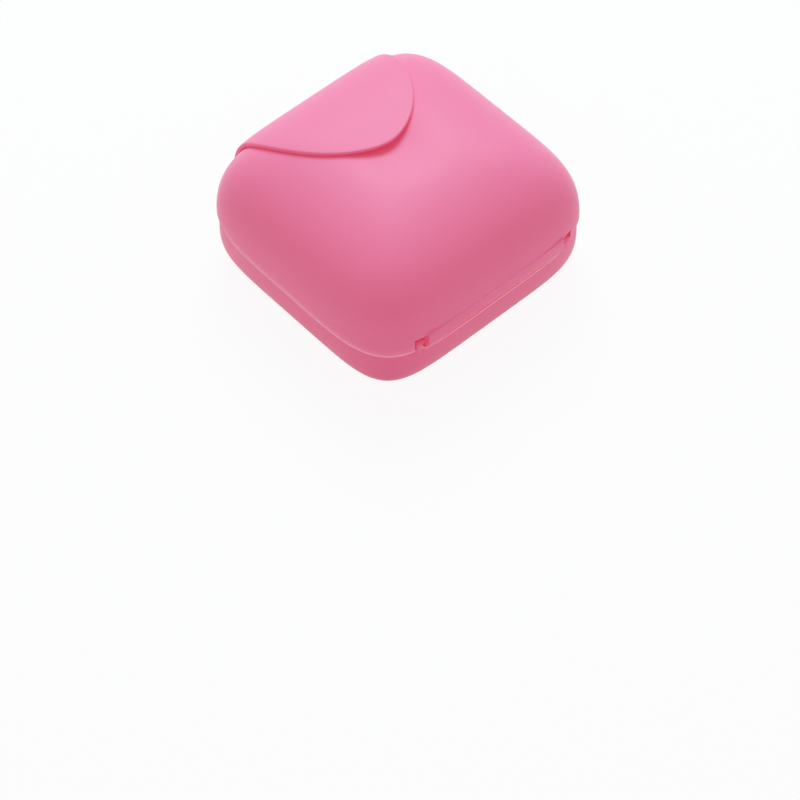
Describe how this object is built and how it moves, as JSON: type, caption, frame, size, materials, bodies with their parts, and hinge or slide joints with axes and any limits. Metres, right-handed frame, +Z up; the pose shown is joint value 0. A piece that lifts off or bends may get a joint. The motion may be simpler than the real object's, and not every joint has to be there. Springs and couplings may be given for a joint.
{
  "type": "travel soap box",
  "caption": "Pillow-shaped travel soap box with a hinged lid, a wrap-over clasp flap and a slotted drain tray that lifts out.",
  "frame": {"origin": "middle of the foot, on the surface that the box stands on", "axes": "+X along the lid's hinge, +Y towards the clasp flap's hinge, +Z up"},
  "size_m": [0.1048, 0.1033, 0.0554],
  "materials": {
    "base_plastic": "satin pink polypropylene",
    "lid_plastic": "satin pink polypropylene",
    "flap_plastic": "satin pink polypropylene",
    "tray_plastic": "satin pink polypropylene"
  },
  "bodies": {
    "base": {"base": "base_plastic"},
    "lid": {"lid": "lid_plastic"},
    "clasp_flap": {"clasp_flap": "flap_plastic"},
    "drain_tray": {"drain_tray": "tray_plastic"}
  },
  "joints": [
    {"name": "lid_hinge", "type": "hinge", "parent": "base", "child": "lid", "pos_m": [0, -0.04865, 0.0205], "axis": [1, 0, 0], "range_deg": [0, 95]},
    {"name": "clasp_hinge", "type": "hinge", "parent": "lid", "child": "clasp_flap", "pos_m": [0, 0.04815, 0.0205], "axis": [-1, 0, 0], "range_deg": [0, 90]},
    {"name": "tray_lift", "type": "slide", "parent": "base", "child": "drain_tray", "axis": [0, 0, 1], "range_m": [0, 0.016]}
  ]
}
